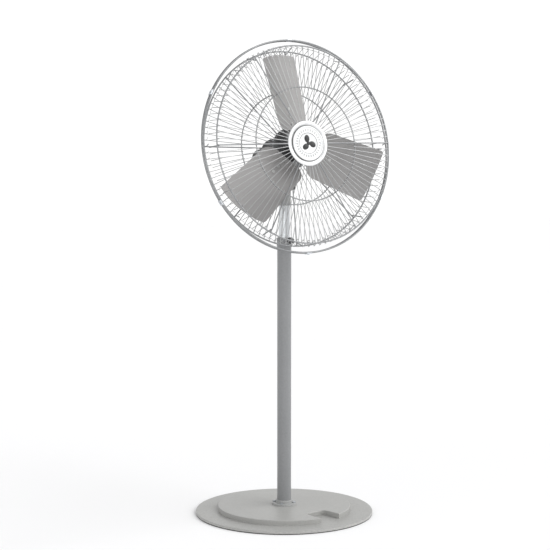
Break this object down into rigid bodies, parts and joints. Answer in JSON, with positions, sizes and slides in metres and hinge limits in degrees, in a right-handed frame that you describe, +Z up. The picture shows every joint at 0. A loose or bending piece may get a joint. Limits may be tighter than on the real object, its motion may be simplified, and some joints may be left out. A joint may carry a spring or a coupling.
{
  "type": "pedestal fan",
  "caption": "Tall pedestal air circulator with a round weighted base, a telescoping pole and a tilting wire-guarded fan head with wide paddle blades.",
  "frame": {"origin": "centre of the round base, at the face that rests on the floor", "axes": "+Z up along the pole, -Y the way the fan blows, +X to the right of someone who faces the fan"},
  "size_m": [0.72, 0.61, 1.6209],
  "materials": {
    "grey_paint": "light grey baked enamel, satin",
    "black_paint": "black baked enamel, semi-gloss",
    "blade_aluminium": "mill-finish rolled sheet",
    "guard_chrome": "bright zinc-chrome plated wire",
    "bright_zinc": "bright zinc plated steel",
    "bare_steel": "ground steel",
    "bearing_steel": "hardened bright steel",
    "lamination_steel": "stacked electrical steel",
    "copper_winding": "varnished copper wire",
    "die_cast": "die-cast alloy, painted grey",
    "black_rubber": "matt rubber",
    "black_plastic": "moulded phenolic",
    "nylon": "natural nylon",
    "badge_enamel": "white enamel with a black mark"
  },
  "bodies": {
    "base": {"floor_ring": "black_rubber", "base_pan": "grey_paint", "base_weight": "grey_paint", "base_screws": "bright_zinc", "pole_flange": "grey_paint", "flange_bolts": "bright_zinc", "flange_set_screws": "bare_steel", "outer_pole": "grey_paint", "pole_collar": "grey_paint"},
    "height_clamp": {"height_knob": "black_plastic"},
    "sliding_pole": {"inner_pole": "bright_zinc", "pole_guide": "nylon"},
    "swivel": {"pole_head": "die_cast", "pivot_bolt": "bright_zinc", "tilt_washers": "nylon"},
    "swivel_lock": {"swivel_knob": "black_plastic"},
    "tilt_lock": {"tilt_knob": "black_plastic"},
    "head": {"motor_bracket": "black_paint", "motor_front_bell": "black_paint", "motor_rear_bell": "black_paint", "motor_shell": "black_paint", "stator_core": "lamination_steel", "stator_windings": "copper_winding", "front_bearing": "bearing_steel", "rear_bearing": "bearing_steel", "motor_bolts": "bright_zinc", "motor_nuts": "bright_zinc", "switch_housing": "black_paint", "housing_screws": "bright_zinc", "run_capacitor": "nylon", "speed_switch": "black_plastic", "cable_gland": "black_plastic", "front_guard_wires": "guard_chrome", "front_guard_ribs": "guard_chrome", "front_guard_rings": "guard_chrome", "rear_guard_wires": "guard_chrome", "rear_guard_ribs": "guard_chrome", "rear_guard_rings": "guard_chrome", "rear_guard_plate": "guard_chrome", "front_guard_plate": "guard_chrome", "centre_badge": "badge_enamel", "badge_screws": "bright_zinc", "guard_clips": "bright_zinc", "guard_clip_screws": "bright_zinc"},
    "speed_control": {"speed_knob": "black_plastic"},
    "rotor": {"motor_shaft": "bare_steel", "rotor_core": "lamination_steel", "blade_spider": "black_paint", "hub_set_screw": "bare_steel", "blade_1": "blade_aluminium", "blade_2": "blade_aluminium", "blade_3": "blade_aluminium", "blade_rivets": "blade_aluminium"}
  },
  "joints": [
    {"name": "height_clamp_turn", "type": "hinge", "parent": "base", "child": "height_clamp", "pos_m": [0, -0.03, 0.943], "axis": [0, -1, 0], "range_deg": [0, 720]},
    {"name": "height_slide", "type": "slide", "parent": "base", "child": "sliding_pole", "axis": [0, 0, 1], "range_m": [-0.105, 0.455]},
    {"name": "head_swivel", "type": "hinge", "parent": "sliding_pole", "child": "swivel", "pos_m": [0, 0, 1.08], "axis": [0, 0, 1], "range_deg": [-180, 180]},
    {"name": "swivel_lock_turn", "type": "hinge", "parent": "swivel", "child": "swivel_lock", "pos_m": [0, 0.03, 1.08], "axis": [0, 1, 0], "range_deg": [0, 720]},
    {"name": "head_tilt", "type": "hinge", "parent": "swivel", "child": "head", "pos_m": [0, 0, 1.13], "axis": [-1, 0, 0], "range_deg": [-8.7, 31.3]},
    {"name": "tilt_lock_turn", "type": "hinge", "parent": "swivel", "child": "tilt_lock", "pos_m": [0.02, 0, 1.13], "axis": [1, 0, 0], "range_deg": [0, 720]},
    {"name": "speed_select", "type": "hinge", "parent": "head", "child": "speed_control", "pos_m": [0, 0.18346, 1.21826], "axis": [0, 0.9885, -0.1513], "range_deg": [0, 270]},
    {"name": "fan_spin", "type": "hinge", "parent": "head", "child": "rotor", "pos_m": [0, -0.09332, 1.26062], "axis": [0, 0.9885, -0.1513], "continuous": true}
  ]
}
